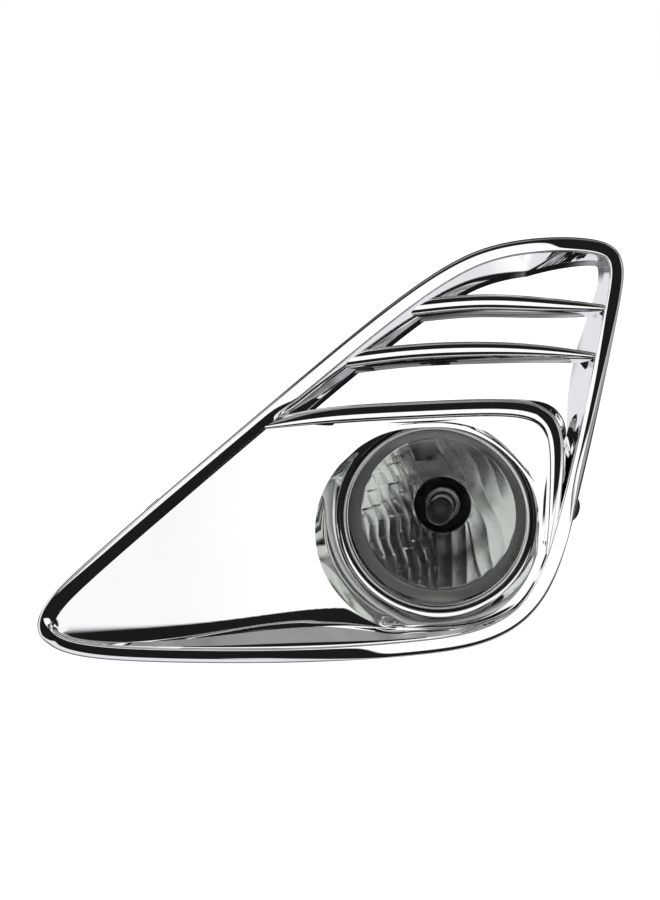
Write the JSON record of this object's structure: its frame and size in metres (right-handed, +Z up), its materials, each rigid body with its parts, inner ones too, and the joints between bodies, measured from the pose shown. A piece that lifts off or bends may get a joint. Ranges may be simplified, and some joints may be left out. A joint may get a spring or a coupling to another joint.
{
  "type": "fog light with bezel",
  "caption": "Round automotive fog lamp with a tilting head and twist-in bulb, behind a long triangular chrome bezel with louver blades and a recessed bowl.",
  "frame": {"origin": "midway between the two bumper bolts on the lamp's optical axis, on the rear faces of the bracket's ears", "axes": "+Y points backwards along the optical axis, the lamp shines towards -Y; +X is to the right seen from the front; +Z is up"},
  "size_m": [0.278, 0.1147, 0.2028],
  "materials": {
    "bezel_chrome": "bright chrome plating on moulded plastic",
    "moulded_back": "thin chrome plating, duller than the face",
    "spring_steel": "phosphated spring steel",
    "screw_steel": "zinc-plated steel",
    "sleeve_steel": "turned steel",
    "plated_steel": "yellow zinc-plated steel",
    "black_plastic": "fine-grained black plastic",
    "housing_plastic": "satin black plastic",
    "bulb_plastic": "dark grey heat-resistant plastic",
    "natural_nylon": "natural nylon",
    "black_rubber": "matte black rubber",
    "seal_rubber": "silicone rubber",
    "reflector_mirror": "vacuum-metallised, fluted",
    "lens_glass": "clear pressed glass",
    "bulb_glass": "clear quartz glass",
    "tip_coating": "satin black coating",
    "terminal_brass": "tinned brass",
    "filament_metal": "tungsten and molybdenum wire"
  },
  "bodies": {
    "bezel_and_bracket": {"bezel_rim": "bezel_chrome", "bezel_panel": "bezel_chrome", "louver_cell_wall": "bezel_chrome", "louver_upper": "bezel_chrome", "louver_lower": "bezel_chrome", "brow_louver": "bezel_chrome", "snap_tabs": "moulded_back", "spring_clips": "spring_steel", "screw_bosses": "moulded_back", "bracket_screws": "screw_steel", "lamp_bracket": "black_plastic", "ear_sleeves": "sleeve_steel", "pivot_bushes": "natural_nylon"},
    "lamp_head": {"lamp_housing": "housing_plastic", "pivot_pins": "screw_steel", "vent_boot": "black_rubber", "reflector": "reflector_mirror", "lens": "lens_glass", "lens_seal": "black_rubber"},
    "aim_screw": {"adjuster_screw": "plated_steel", "adjuster_retainer": "spring_steel"},
    "aim_nut": {"adjuster_nut": "natural_nylon"},
    "bulb": {"bulb_base": "bulb_plastic", "bulb_seal": "seal_rubber", "bulb_terminals": "terminal_brass", "bulb_glass": "bulb_glass", "bulb_tip": "tip_coating", "bulb_filament": "filament_metal"}
  },
  "joints": [
    {"name": "lamp_tilt", "type": "hinge", "parent": "bezel_and_bracket", "child": "lamp_head", "pos_m": [0, -0.014, 0], "axis": [1, 0, 0], "range_deg": [-3.5, 3.5]},
    {"name": "aim_nut_slide", "type": "slide", "parent": "bezel_and_bracket", "child": "aim_nut", "axis": [0, 1, 0], "range_m": [-0.0033, 0.0033]},
    {"name": "aim_screw_turn", "type": "hinge", "parent": "bezel_and_bracket", "child": "aim_screw", "pos_m": [0, 0, -0.053], "axis": [0, 1, 0], "range_deg": [-935, 935]},
    {"name": "bulb_twist", "type": "hinge", "parent": "lamp_head", "child": "bulb", "pos_m": [0, 0, 0], "axis": [0, 1, 0], "range_deg": [0, 35]}
  ],
  "couplings": [
    {"joint": "aim_nut_slide", "follows": "lamp_tilt", "m_per_rad": 0.053},
    {"joint": "aim_screw_turn", "follows": "lamp_tilt", "ratio": -266.4}
  ]
}
